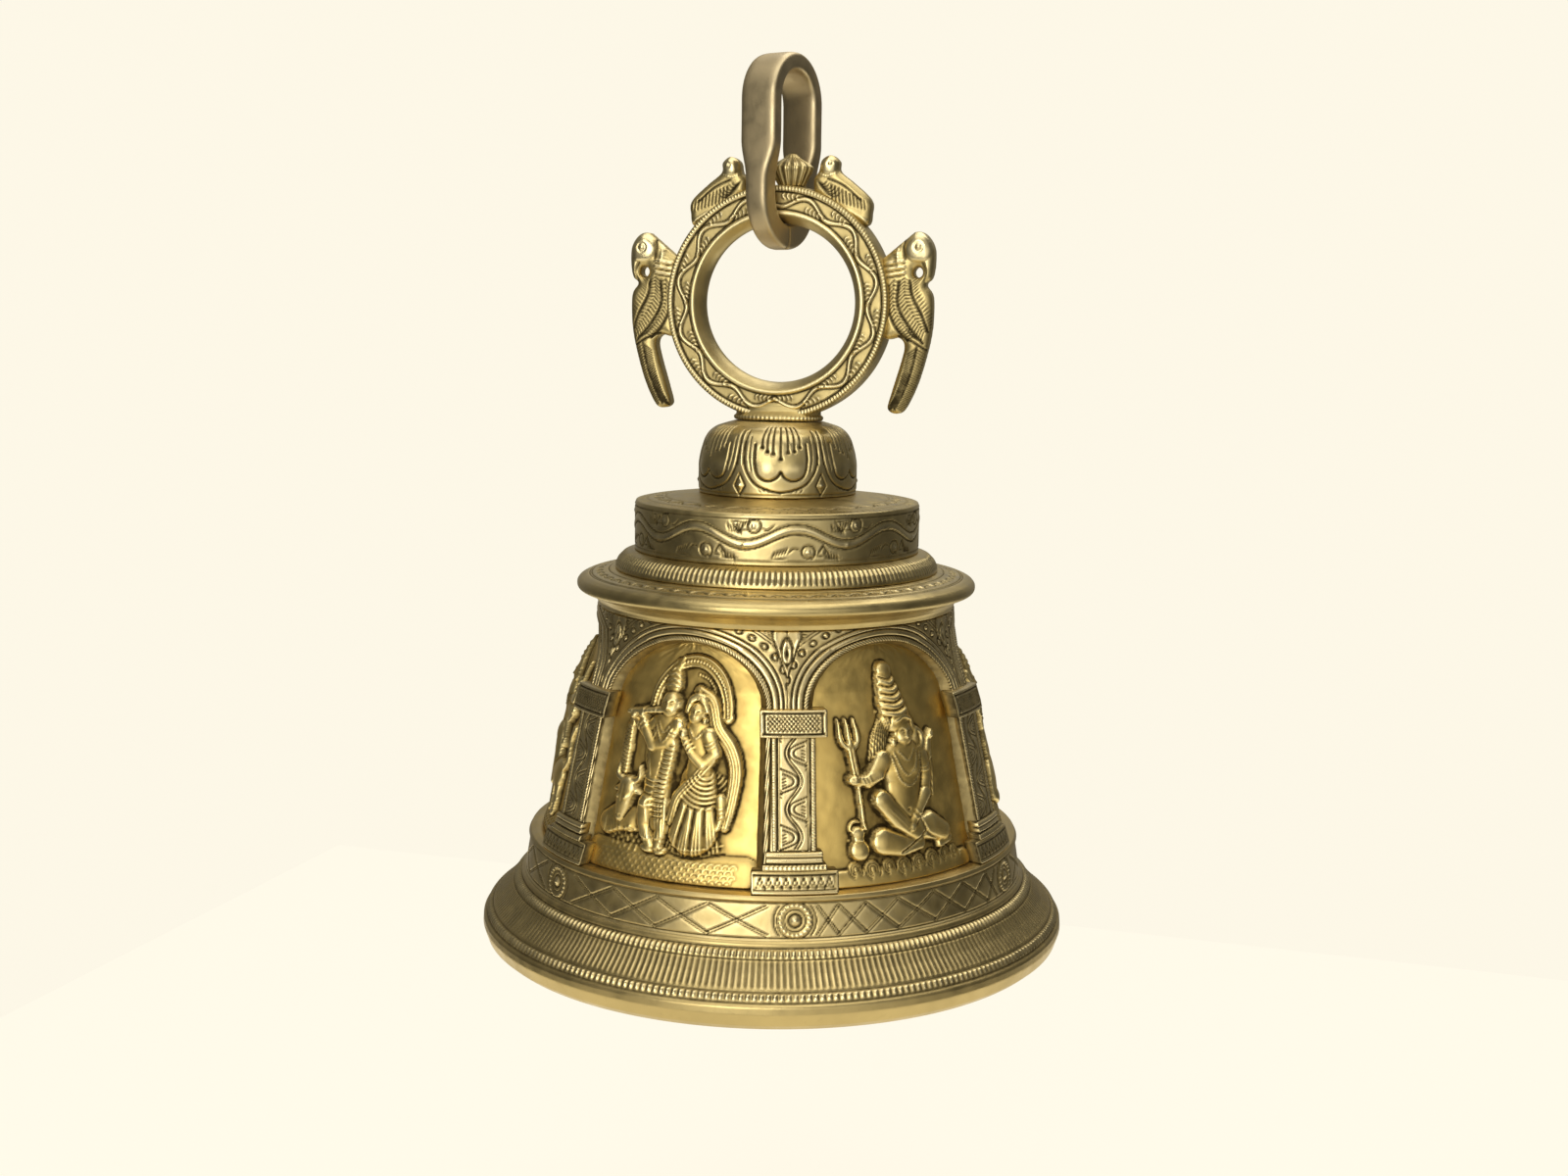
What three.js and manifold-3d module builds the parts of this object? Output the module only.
// Temple bell: cast brass bell with arched figure bays, a stacked crown, a bird-topped
// hanger ring in an iron-brown link, and a hanging clapper.
// Millimetres, +Z up. Origin: centre of the mouth plane. The hanger ring's axis is Y.
import * as THREE from 'three';
import { mergeVertices } from 'three/addons/utils/BufferGeometryUtils.js';
import Module from 'manifold-3d';

const wasm = await Module();
wasm.setup();

// ---- driving dimensions ------------------------------------------------------------
const GAP = 0.3;                 // clearance between seated pieces
const BAYS = 6;                  // arched bays around the bell
const BAY_PITCH = 360 / BAYS;
const PILLAR_PHASE = 21;         // degrees from the front (-Y) towards +X
const BELL_SEGMENTS = 48;
const CROWN_SEGMENTS = 40;
const DOME_SEGMENTS = 32;

const LIP_RADIUS = 112;
const LIP_FLAT = [104, 108.5];   // the flat face at the mouth, inner and outer radius
const SHELL_TOP = 127.4;
const SHELL_ROOF = 122.4;        // underside of the top plate
const WALL = 8;                  // pillar face to inner wall
const FACE_STATIONS = [          // height, radius of the bell's face
  [40.5, 91.5], [51, 88], [73, 83.2], [96, 78], [106, 74.6], [114, 71], [121, 68], [127.4, 67.8],
];

const NICHE_DEPTH = 4.6;
const NICHE_HALF_ANGLE = 24.5;
const NICHE_SILL = 41.6;
const NICHE_SPRING = 102;        // where the arch starts
const NICHE_CROWN = 122.6;
const NICHE_CENTRE = 80;
const NICHE_SPLAY = 2;           // degrees that each jamb leans in towards the floor

const PLAQUE_THICKNESS = 1.2;
const SEAT_DEPTH = 2.4;          // pillars are let into the face by this much
const SEAT_HALF_ANGLE = 11;
const PILLAR_FOOT = 41.5;
const PILLAR_TOP = 102.1;

const STUD_RADIUS = 4;
const STUD_HOLE = 4.6;
const STUD_TOP = 205;
const EYE_CENTRE = 106.5;
const EYE_RADIUS = 6.5;
const EYE_WIRE = 2.5;

const LINK_WIRE = 2;
const LINK_BEND = 6.5;
const LINK_TOP_CENTRE = 98.3;
const LINK_LOW_CENTRE = 88.3;
const ROD_EYE_CENTRE = 80.4;
const ROD_EYE_RADIUS = 6;
const ROD_EYE_WIRE = 2.3;
const ROD_RADIUS = 3.5;
const BALL_RADIUS = 16;
const BALL_CENTRE = 18.5;

const RING_CENTRE = 240.5;
const RING_OUTER = 42.9;
const RING_BORE = 32;
const RING_BORE_BULGE = 29.2;    // the bore is rounded, tightest at mid thickness
const RING_HALF_DEPTH = 6;
const RING_SEGMENTS = 48;
const FOOT_BASE = 197;

const HANGER_TURN = 13;          // the link's plane, degrees off the ring's axis
const HANGER_HALF_GAP = 15;      // link centreline to its middle plane
const HANGER_LOW = 264.7;        // centreline heights of the link
const HANGER_HIGH = 328;

// ---- materials ---------------------------------------------------------------------
const BRASS = { color: 0xb3924a, roughness: 0.34, metalness: 1 };
const RELIEF_BRASS = { color: 0xa88640, roughness: 0.4, metalness: 1 };
const LINK_BRASS = { color: 0x8c7a4e, roughness: 0.42, metalness: 1 };
const STEEL = { color: 0x8d8d8a, roughness: 0.45, metalness: 1 };

const bell = new THREE.Group();

function add(name, geometry, finish) {
  const mesh = new THREE.Mesh(geometry, new THREE.MeshStandardMaterial(finish));
  mesh.name = name;
  bell.add(mesh);
  return mesh;
}

// ---- geometry helpers --------------------------------------------------------------
const radians = THREE.MathUtils.degToRad;

function merged(geometry) {
  const plain = geometry.clone();
  plain.deleteAttribute('normal');
  plain.deleteAttribute('uv');
  return mergeVertices(plain, 1e-4);
}

function signedVolume(geometry) {
  const at = geometry.attributes.position;
  const [a, b, c] = [new THREE.Vector3(), new THREE.Vector3(), new THREE.Vector3()];
  let sum = 0;
  for (let i = 0; i < geometry.index.count; i += 3) {
    a.fromBufferAttribute(at, geometry.index.getX(i));
    b.fromBufferAttribute(at, geometry.index.getX(i + 1));
    c.fromBufferAttribute(at, geometry.index.getX(i + 2));
    sum += a.dot(b.cross(c));
  }
  return sum;
}

// One closed skin with merged vertices and every face pointing out.
function closedSkin(geometry) {
  const skin = merged(geometry);
  if (signedVolume(skin) < 0) {
    const index = skin.index.array;
    for (let i = 0; i < index.length; i += 3) {
      [index[i], index[i + 1]] = [index[i + 1], index[i]];
    }
  }
  return skin;
}

function solid(geometry) {
  const skin = closedSkin(geometry);
  return new wasm.Manifold(new wasm.Mesh({
    numProp: 3,
    vertProperties: new Float32Array(skin.attributes.position.array),
    triVerts: new Uint32Array(skin.index.array),
  }));
}

function geometryOf(manifold) {
  const mesh = manifold.getMesh();
  const geometry = new THREE.BufferGeometry();
  geometry.setAttribute('position', new THREE.BufferAttribute(mesh.vertProperties, 3));
  geometry.setIndex(new THREE.BufferAttribute(mesh.triVerts, 1));
  return geometry;
}

function union(geometries) {
  return geometries.map(solid).reduce((whole, piece) => whole.add(piece));
}

// A ring turned about Z from a closed profile of [radius, height] points.
function turned(profile, segments) {
  const points = [...profile, profile[0]].map(([r, z]) => new THREE.Vector2(r, z));
  return closedSkin(new THREE.LatheGeometry(points, segments).rotateX(Math.PI / 2));
}

// A solid of revolution about Z whose profile starts and ends on the axis.
function turnedSolid(points, segments) {
  return closedSkin(new THREE.LatheGeometry(points, segments).rotateX(Math.PI / 2));
}

// Joins rings of equal point count, each end closed on its middle point.
function loft(rings) {
  const count = rings[0].length;
  const points = rings.flat();
  const middle = ring => ring.reduce((sum, p) => sum.add(p), new THREE.Vector3()).divideScalar(count);
  points.push(middle(rings[0]), middle(rings[rings.length - 1]));
  const faces = [];
  for (let i = 0; i < count; i += 1) {
    const next = (i + 1) % count;
    for (let k = 0; k < rings.length - 1; k += 1) {
      const low = k * count;
      const high = low + count;
      faces.push(low + i, low + next, high + next, low + i, high + next, high + i);
    }
    const last = (rings.length - 1) * count;
    faces.push(points.length - 2, next, i, points.length - 1, last + i, last + next);
  }
  return closedSkin(new THREE.BufferGeometry().setFromPoints(points).setIndex(faces));
}

// A bar swept round a closed plane loop; section(t) gives its half width and half depth.
function sweptLoop(curve, steps, sides, planeNormal, section) {
  const points = [];
  const faces = [];
  for (let k = 0; k < steps; k += 1) {
    const t = k / steps;
    const centre = curve.getPointAt(t);
    const inward = curve.getTangentAt(t).cross(planeNormal).normalize();
    const [halfWidth, halfDepth] = section(centre);
    for (let i = 0; i < sides; i += 1) {
      const angle = 2 * Math.PI * (i + 0.5) / sides;
      points.push(centre.clone()
        .addScaledVector(planeNormal, halfWidth * Math.cos(angle))
        .addScaledVector(inward, halfDepth * Math.sin(angle)));
      const next = (i + 1) % sides;
      const ahead = ((k + 1) % steps) * sides;
      faces.push(k * sides + i, k * sides + next, ahead + next, k * sides + i, ahead + next, ahead + i);
    }
  }
  return closedSkin(new THREE.BufferGeometry().setFromPoints(points).setIndex(faces));
}

// A point on the bell: angle in degrees from the front towards +X, radius and height.
function around(angle, radius, height) {
  const a = radians(angle);
  return new THREE.Vector3(radius * Math.sin(a), -radius * Math.cos(a), height);
}

function faceRadius(height) {
  const last = FACE_STATIONS.length - 1;
  const z = THREE.MathUtils.clamp(height, FACE_STATIONS[0][0], FACE_STATIONS[last][0]);
  const k = Math.max(1, FACE_STATIONS.findIndex(station => station[0] >= z));
  const [z0, r0] = FACE_STATIONS[k - 1];
  const [z1, r1] = FACE_STATIONS[k];
  return THREE.MathUtils.mapLinear(z, z0, z1, r0, r1);
}

// ---- bell body ---------------------------------------------------------------------
const SKIRT = [                  // outside of the flared mouth, from the lip up to the ledge
  [LIP_FLAT[1], 0], [110.6, 2], [LIP_RADIUS, 6], [111.8, 8.6], [110.5, 10], [108.7, 12.5],
  [103.6, 17.4], [100, 21.5], [97.6, 23.6], [97, 25.4], [95.7, 26.4], [93.6, 39], [94.2, 39.8],
  [93.4, 40.9],
];
const SKIRT_INSIDE = [           // inside of the mouth, from the wall down to the lip
  [86.5, 38], [90.5, 25], [97, 15.5], [102, 8], [LIP_FLAT[0], 0],
];

// The bay's outline in degrees across and height, drawn in from the arch by inset degrees.
function nicheOutline(inset, clearance) {
  const half = NICHE_HALF_ANGLE - inset - THREE.MathUtils.radToDeg(clearance / faceRadius(NICHE_CROWN));
  const rise = NICHE_CROWN - NICHE_SPRING - inset / 2 - clearance;
  const outline = new THREE.Path();
  outline.moveTo(-half, NICHE_SILL + clearance);
  outline.lineTo(0, NICHE_SILL + clearance);
  outline.lineTo(half, NICHE_SILL + clearance);
  outline.lineTo(half, NICHE_CENTRE);
  outline.lineTo(half, NICHE_SPRING);
  outline.absellipse(0, NICHE_SPRING, half, rise, 0, Math.PI, false, 0);
  outline.lineTo(-half, NICHE_CENTRE);
  return outline.getPoints(5);
}

// One ring of a bay: the outline shrunk towards the bay's middle, laid on the bell's face.
function bayRing(middle, outline, scale, depth) {
  return outline.map(({ x, y }) => {
    const height = NICHE_CENTRE + (y - NICHE_CENTRE) * scale;
    return around(middle + x * scale, faceRadius(height) - depth, height);
  });
}

// The hollow of a bay, from its floor out past the bell's face, less a clearance all round.
function nicheRoom(middle, clearance) {
  const floor = nicheOutline(NICHE_SPLAY, clearance);
  const mouth = nicheOutline(-NICHE_SPLAY * 0.6, clearance);
  const depth = NICHE_DEPTH - clearance;
  return solid(loft([
    bayRing(middle, floor, 0.5, depth), bayRing(middle, floor, 1, depth),
    bayRing(middle, mouth, 1, -4), bayRing(middle, mouth, 0.5, -4),
  ]));
}

// A block standing on the bell's face: rows of [height, half width in mm, front, back].
function faceBlock(middle, rows) {
  const across = [-1, -0.5, 0, 0.5, 1];
  return loft(rows.map(([height, halfWidth, front, back]) => {
    const half = THREE.MathUtils.radToDeg(halfWidth / faceRadius(height));
    const face = faceRadius(height);
    const outer = across.map(s => around(middle + s * half, face + front, height));
    const inner = across.toReversed().map(s => around(middle + s * half, face + back, height));
    return [...outer, ...inner];
  }));
}

function seatCutter(middle) {
  const heights = [PILLAR_FOOT - GAP, 51, 73, 96, PILLAR_TOP + GAP];
  return faceBlock(middle, heights.map(height => {
    const halfWidth = radians(SEAT_HALF_ANGLE) * faceRadius(height);
    return [height, halfWidth, 5, -SEAT_DEPTH];
  }));
}

function bellBody() {
  const face = FACE_STATIONS.map(([z, r]) => [r, z]).slice(1);
  const wall = FACE_STATIONS.slice(1, -1).toReversed().map(([z, r]) => [r - WALL, z]);
  const profile = [
    ...SKIRT, [91.4, 41.4], ...face, [STUD_HOLE, SHELL_TOP], [STUD_HOLE, SHELL_ROOF],
    [57, SHELL_ROOF], ...wall.slice(1), ...SKIRT_INSIDE,
  ];
  let body = solid(turned(profile, BELL_SEGMENTS));
  for (let bay = 0; bay < BAYS; bay += 1) {
    const pillar = PILLAR_PHASE + bay * BAY_PITCH;
    body = body.subtract(nicheRoom(pillar - BAY_PITCH / 2, 0));
    body = body.subtract(solid(seatCutter(pillar)));
  }
  return geometryOf(body);
}

add('bell_body', bellBody(), BRASS);

// ---- pillars -----------------------------------------------------------------------
function pillar(middle) {
  const back = GAP - SEAT_DEPTH;
  const steps = [                // bottom, top, half width, how far it stands out
    [PILLAR_FOOT, 48.8, 14.8, 2.4], [48.8, 50.9, 11, 2], [50.9, 55, 9.7, 1.4],
    [55, 93, 7.6, 0.8], [93, PILLAR_TOP, 11.3, 3],
  ];
  const rows = steps.flatMap(([low, high, half, front]) => [
    [low, half, front, back], [high, half, front, back],
  ]);
  rows.splice(7, 0, [73, 7.6, 0.8, back]);
  return faceBlock(middle, rows);
}

for (let bay = 0; bay < BAYS; bay += 1) {
  add(`pillar_${bay + 1}`, pillar(PILLAR_PHASE + bay * BAY_PITCH), BRASS);
}

// ---- reliefs -----------------------------------------------------------------------
// Rounded mass of a figure: place across the bay (mm), height, half sizes, lean in degrees.
function mass(middle, across, height, halfWidth, halfHeight, halfDepth, lean = 0) {
  const angle = middle + THREE.MathUtils.radToDeg(across / faceRadius(height));
  const stand = faceRadius(height) - NICHE_DEPTH + 0.9 + halfDepth * 0.3;
  const blob = new THREE.SphereGeometry(1, 8, 5).rotateX(Math.PI / 2);
  blob.scale(halfWidth, halfDepth, halfHeight).rotateY(radians(lean)).rotateX(radians(-13));
  const place = around(angle, stand, height);
  return blob.rotateZ(radians(angle)).translate(place.x, place.y, place.z);
}

// The plaque: a thin curved plate that fills the niche floor, with the figure's masses on it.
function relief(middle, masses) {
  const sheet = nicheOutline(-4, 0);
  const front = NICHE_DEPTH - PLAQUE_THICKNESS - GAP;
  let whole = solid(loft([
    bayRing(middle, sheet, 0.5, 12), bayRing(middle, sheet, 1, 12),
    bayRing(middle, sheet, 1, front), bayRing(middle, sheet, 0.5, front),
  ]));
  masses.forEach(([across, height, halfWidth, halfHeight, halfDepth, lean]) => {
    whole = whole.add(solid(mass(middle, across, height, halfWidth, halfHeight, halfDepth, lean)));
  });
  return geometryOf(whole.intersect(nicheRoom(middle, GAP)));
}

const STANDING = across => [     // head and crown, chest, skirt
  [across, 100, 3.8, 8, 3.4], [across, 84, 6, 10, 3.4], [across, 62, 6, 15, 3.4],
];
const SEATED = across => [       // head, hair, torso, crossed legs
  [across, 91.5, 4.6, 5.4, 4.2], [across, 102.5, 5, 8.5, 3.2], [across, 75, 8.2, 12.5, 3.8],
  [across, 55.6, 18.5, 5.4, 4],
];
const GROUND = [0, 46, 25, 3.6, 2.2];

const RELIEFS = {
  relief_flute_player_pair: [...STANDING(-5), ...STANDING(8), [-17, 62, 5, 7, 3.2], GROUND],
  relief_seated_ascetic: [...SEATED(1), [-19, 86, 2.6, 18, 2, -8], [-19, 57, 4.6, 7.5, 3.4], GROUND],
  relief_lotus_lady: [...SEATED(0), [-17, 82, 3, 14, 2.2, -10], [17, 82, 3, 14, 2.2, 10], GROUND],
  relief_elephant_headed_figure: [...SEATED(0), [0, 84, 2, 7, 5.2], [0, 92, 13, 5.6, 2.2], GROUND],
  relief_archer: [...STANDING(0), [-15, 80, 2.4, 22, 1.8, 8], [14, 58, 5, 10, 2.6], GROUND],
  relief_lion_rider: [
    [0, 101, 3.8, 8, 3.4], [0, 84, 7, 10, 3.6], [0, 62, 18, 9.5, 4], [-18, 74, 6, 7, 4.2], GROUND,
  ],
};

Object.entries(RELIEFS).forEach(([name, masses], bay) => {
  const middle = PILLAR_PHASE - BAY_PITCH / 2 + bay * BAY_PITCH;
  add(name, relief(middle, masses), RELIEF_BRASS);
});

// ---- crown: flange, bead ring, drum and lotus dome, stacked on the stud -------------
const FLANGE = [
  [50, SHELL_TOP + GAP], [67.6, SHELL_TOP + GAP], [68.2, 129.6], [70.5, 131.9], [75, 133.6],
  [75.7, 134.6], [75.7, 136.4], [74.6, 137.8], [72.4, 138.8], [61.6, 140.9], [50, 140.9],
];
const BEAD_RING = [
  [50, 141.2], [61.3, 141.2], [61.2, 142.8], [60.2, 144.8], [58.2, 146.8], [54.8, 148.1],
  [50, 148.1],
];
const DRUM = [
  [49.5, 148.4], [54, 148.4], [54, 165.4], [53.5, 166.6], [52, 166.9], [31, 169.5],
  [29, 169.8], [STUD_HOLE, 169.8], [STUD_HOLE, 165.4], [47, 162.6], [49.5, 160],
];
const DOME = [
  [29.8, 170.1], [30, 171.4], [30, 181], [29.3, 185], [27.8, 190], [26.2, 192.6],
  [23.5, 194.7], [19.4, 196], [16.8, FOOT_BASE - GAP], [STUD_HOLE, FOOT_BASE - GAP],
  [STUD_HOLE, 191], [21, 187], [25.6, 179], [25.6, 170.1],
];

add('crown_flange', turned(FLANGE, CROWN_SEGMENTS), BRASS);
add('crown_bead_ring', turned(BEAD_RING, CROWN_SEGMENTS), BRASS);
add('crown_drum', turned(DRUM, CROWN_SEGMENTS), BRASS);
add('lotus_dome', turned(DOME, DOME_SEGMENTS), BRASS);

// ---- hanger ring and what stands on it -----------------------------------------------
function ellipseRing(halfX, halfY, height, count) {
  return Array.from({ length: count }, (_, i) => {
    const a = 2 * Math.PI * i / count;
    return new THREE.Vector3(halfX * Math.cos(a), halfY * Math.sin(a), height);
  });
}

function rod(radius, low, high, sides) {
  const height = high - low;
  const bar = new THREE.CylinderGeometry(radius, radius, height, sides);
  return bar.rotateX(Math.PI / 2).translate(0, 0, (low + high) / 2);
}

function hangerRing() {
  const d = RING_HALF_DEPTH;
  const section = [
    [RING_BORE, -d], [RING_OUTER, -d], [RING_OUTER + 0.4, 0], [RING_OUTER, d], [RING_BORE, d],
    [30, d * 0.6], [RING_BORE_BULGE, 0], [30, -d * 0.6],
  ];
  const points = [...section, section[0]].map(([r, y]) => new THREE.Vector2(r, y));
  const hoop = new THREE.LatheGeometry(points, RING_SEGMENTS).translate(0, 0, RING_CENTRE);
  const foot = loft([
    ellipseRing(17, 9.5, FOOT_BASE, 20), ellipseRing(16.4, 9, 198.6, 20),
    ellipseRing(16.6, 7.2, 200.6, 20), ellipseRing(16.8, 5.6, 203.5, 20),
  ]);
  const hole = rod(STUD_HOLE - 0.3, FOOT_BASE - 2, STUD_TOP + 0.6, 16);
  return geometryOf(union([hoop, foot]).subtract(solid(hole)));
}

// A round cutter along Y.
function crossHole(x, z, radius, sides) {
  return solid(new THREE.CylinderGeometry(radius, radius, 40, sides).translate(x, 0, z));
}

// A flat casting cut from its outline, standing on the ring with a brazing gap.
function ringOrnament(points, halfDepth, bevel) {
  const outline = new THREE.Shape(new THREE.SplineCurve(
    [...points, points[0]].map(([x, z]) => new THREE.Vector2(x, z)),
  ).getPoints(points.length * 2).slice(1));
  const slab = new THREE.ExtrudeGeometry(outline, {
    depth: 2 * (halfDepth - bevel), bevelThickness: bevel, bevelSize: bevel, bevelOffset: -bevel,
    bevelSegments: 1, curveSegments: 6,
  });
  slab.translate(0, 0, bevel - halfDepth).rotateX(Math.PI / 2);
  return solid(slab).subtract(crossHole(0, RING_CENTRE, RING_OUTER + 0.4 + GAP, 96));
}

const PARROT = [                 // head, beak, breast, tail and back, outwards from the ring
  [51.5, 266.4], [55.6, 265.6], [58.6, 261], [58.9, 254.6], [58, 250], [56, 247.6],
  [58.4, 243.4], [58.6, 234.4], [57.3, 225.2], [53.6, 212], [49.2, 202.6], [46, 200.6],
  [42.8, 202.4], [44.2, 208.6], [47.6, 220], [48.6, 225.6], [46.4, 228.4], [41, 228.8],
  [39.6, 243], [38.4, 258.6], [44, 262.6],
];
const BEAK_GAP = { x: 53.2, z: 252, radius: 1.8 };
const TOP_BIRD = [               // breast, head, back and tail of the small bird
  [13.4, 281], [13.2, 285.6], [15, 288.6], [16, 292.4], [19.4, 294.2], [22.4, 292],
  [22.8, 288.4], [28, 284.2], [34.2, 278.6], [35, 274.2], [34, 266], [15, 276],
];

add('hanger_ring', hangerRing(), BRASS);
[['left', -1], ['right', 1]].forEach(([side, sign]) => {
  const mirrored = points => points.map(([x, ...rest]) => [sign * x, ...rest]);
  const parrot = ringOrnament(mirrored(PARROT), 4.4, 1.2)
    .subtract(crossHole(sign * BEAK_GAP.x, BEAK_GAP.z, BEAK_GAP.radius, 10));
  add(`parrot_${side}`, geometryOf(parrot), BRASS);
  add(`top_bird_${side}`, geometryOf(ringOrnament(mirrored(TOP_BIRD), 4, 1.2)), BRASS);
});

const BUD = [
  [0, 283.9], [5, 283.9], [5.6, 285], [7.6, 288.6], [7.8, 290], [6.2, 291.4], [3, 293.4],
  [1.4, 295], [0, 295.2],
];
const BUD_OFFSET = 4;
add(
  'lotus_finial',
  turnedSolid(BUD.map(([r, z]) => new THREE.Vector2(r, z)), 20).translate(BUD_OFFSET, 0, 0),
  BRASS,
);

// ---- hanger link ---------------------------------------------------------------------
// A closed loop in a vertical plane: a low bend, two legs, and a high bend.
function loopCurve(direction, halfGap, low, high) {
  const loop = new THREE.CurvePath();
  const corners = [[1, low + halfGap], [1, high - halfGap], [-1, high - halfGap], [-1, low + halfGap]];
  const [a, b, c, d] = corners.map(([side, height]) => (
    direction.clone().multiplyScalar(side * halfGap).setZ(height)
  ));
  loop.add(new THREE.LineCurve3(a, b));
  loop.add(halfTurn(direction, halfGap, high - halfGap, 0));
  loop.add(new THREE.LineCurve3(c, d));
  loop.add(halfTurn(direction, halfGap, low + halfGap, Math.PI));
  return loop;
}

function halfTurn(direction, radius, height, start) {
  const bend = new THREE.Curve();
  bend.getPoint = t => {
    const angle = start + Math.PI * t;
    const across = direction.clone().multiplyScalar(radius * Math.cos(angle));
    return across.setZ(height + radius * Math.sin(angle));
  };
  return bend;
}

// The bar is a square section below and a wider, thinner strap above the ring.
function hangerSection({ z }) {
  const upper = THREE.MathUtils.smoothstep(z, 284, 299);
  return [THREE.MathUtils.lerp(4.6, 7.6, upper), THREE.MathUtils.lerp(4.7, 3.4, upper)];
}

const hangerAcross = new THREE.Vector3(-Math.sin(radians(HANGER_TURN)), -Math.cos(radians(HANGER_TURN)), 0);
const hangerNormal = new THREE.Vector3(0, 0, 1).cross(hangerAcross);
const hangerLoop = loopCurve(hangerAcross, HANGER_HALF_GAP, HANGER_LOW, HANGER_HIGH);
add('hanger_link', sweptLoop(hangerLoop, 48, 8, hangerNormal, hangerSection), LINK_BRASS);

// ---- clapper -------------------------------------------------------------------------
function eye(radius, wire, centre) {
  return new THREE.TorusGeometry(radius, wire, 8, 20).rotateX(Math.PI / 2).translate(0, 0, centre);
}

const stud = union([
  rod(STUD_RADIUS, EYE_CENTRE + EYE_RADIUS - 1, STUD_TOP, 16),
  eye(EYE_RADIUS, EYE_WIRE, EYE_CENTRE),
]);
add('clapper_stud', geometryOf(stud), STEEL);

const WASHER_LOW = SHELL_ROOF - GAP - 2;
add('stud_washer', turned([
  [STUD_HOLE - 0.2, WASHER_LOW], [11, WASHER_LOW], [11, SHELL_ROOF - GAP],
  [STUD_HOLE - 0.2, SHELL_ROOF - GAP],
], 24), STEEL);

function circlePoints(radius, count) {
  return Array.from({ length: count }, (_, i) => {
    const a = 2 * Math.PI * i / count;
    return new THREE.Vector2(radius * Math.cos(a), radius * Math.sin(a));
  });
}

function hexNut(acrossFlats, bore, height, top) {
  const corner = acrossFlats / Math.sqrt(3);
  const outline = new THREE.Shape(circlePoints(corner, 6));
  outline.holes.push(new THREE.Path(circlePoints(bore, 16)));
  const nut = new THREE.ExtrudeGeometry(outline, { depth: height, bevelEnabled: false, curveSegments: 8 });
  return closedSkin(nut.translate(0, 0, top - height));
}

add('stud_nut', hexNut(14, STUD_HOLE - 0.3, 4.6, WASHER_LOW - GAP), STEEL);

const sideways = new THREE.Vector3(0, 1, 0);
const linkLoop = loopCurve(sideways, LINK_BEND, LINK_LOW_CENTRE - LINK_BEND, LINK_TOP_CENTRE + LINK_BEND);
const linkNormal = new THREE.Vector3(0, 0, 1).cross(sideways);
add('clapper_link', sweptLoop(linkLoop, 32, 8, linkNormal, () => [LINK_WIRE, LINK_WIRE]), STEEL);

const ballTop = BALL_CENTRE + BALL_RADIUS;
const socketFloor = BALL_CENTRE + 8;
const rodLow = socketFloor + GAP;
add('clapper_rod', geometryOf(union([
  rod(ROD_RADIUS, rodLow, ROD_EYE_CENTRE - ROD_EYE_RADIUS + 1, 16),
  eye(ROD_EYE_RADIUS, ROD_EYE_WIRE, ROD_EYE_CENTRE),
])), STEEL);

function clapperBall() {
  const ball = new THREE.SphereGeometry(BALL_RADIUS, 24, 14).rotateX(Math.PI / 2);
  ball.translate(0, 0, BALL_CENTRE);
  return geometryOf(solid(ball).subtract(solid(rod(ROD_RADIUS + GAP, socketFloor, ballTop + 1, 16))));
}

add('clapper_ball', clapperBall(), BRASS);

export default bell;
